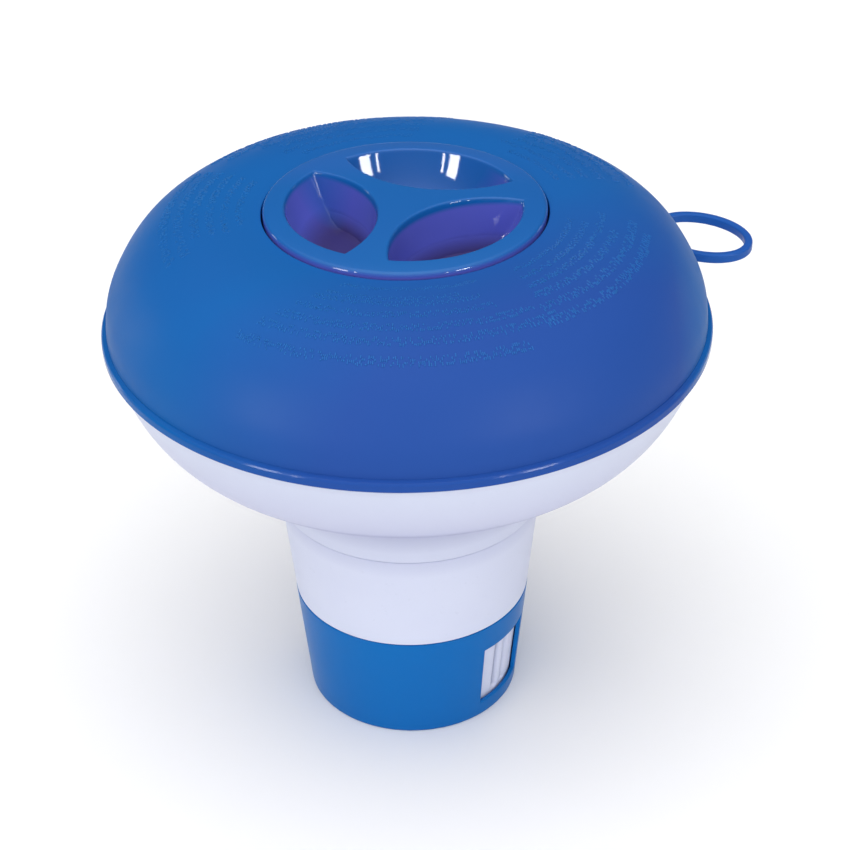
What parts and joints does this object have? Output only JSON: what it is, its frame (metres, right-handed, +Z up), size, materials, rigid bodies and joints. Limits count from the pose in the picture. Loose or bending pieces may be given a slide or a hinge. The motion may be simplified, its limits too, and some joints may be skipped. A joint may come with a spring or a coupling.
{
  "type": "floating chlorine dispenser",
  "caption": "Floating pool chemical dispenser: dome float with a lift-off cap, bowl, slotted feeder tube, rotating control ring and tether loop.",
  "frame": {"origin": "centre of the control ring's flat base, on the dispenser's axis", "axes": "+Z up along the axis, from the base to the cap; +X and +Y square to it, with the tether loop 26 degrees from +X towards +Y"},
  "size_m": [0.1398, 0.127, 0.1209],
  "materials": {
    "shell_blue": "gloss moulded plastic",
    "shell_white": "satin moulded plastic",
    "tube_white": "satin moulded plastic",
    "ring_blue": "gloss moulded plastic",
    "cap_blue": "gloss moulded plastic",
    "seal_grey": "matt rubber",
    "loop_blue": "satin flexible plastic"
  },
  "bodies": {
    "float": {"upper_float_shell": "shell_blue", "lower_float_shell": "shell_white", "feeder_tube": "tube_white", "tether_loop": "loop_blue"},
    "seal": {"cap_seal": "seal_grey"},
    "cap": {"screw_cap": "cap_blue"},
    "ring": {"control_ring": "ring_blue"}
  },
  "joints": [
    {"name": "cap_lift", "type": "slide", "parent": "float", "child": "seal", "axis": [0, 0, 1], "range_m": [0, 0.045]},
    {"name": "cap_turn", "type": "hinge", "parent": "seal", "child": "cap", "pos_m": [0, 0, 0.1], "axis": [0, 0, 1], "range_deg": [-60, 0]},
    {"name": "ring_turn", "type": "hinge", "parent": "float", "child": "ring", "pos_m": [0, 0, 0.013], "axis": [0, 0, 1], "range_deg": [0, 45]}
  ]
}
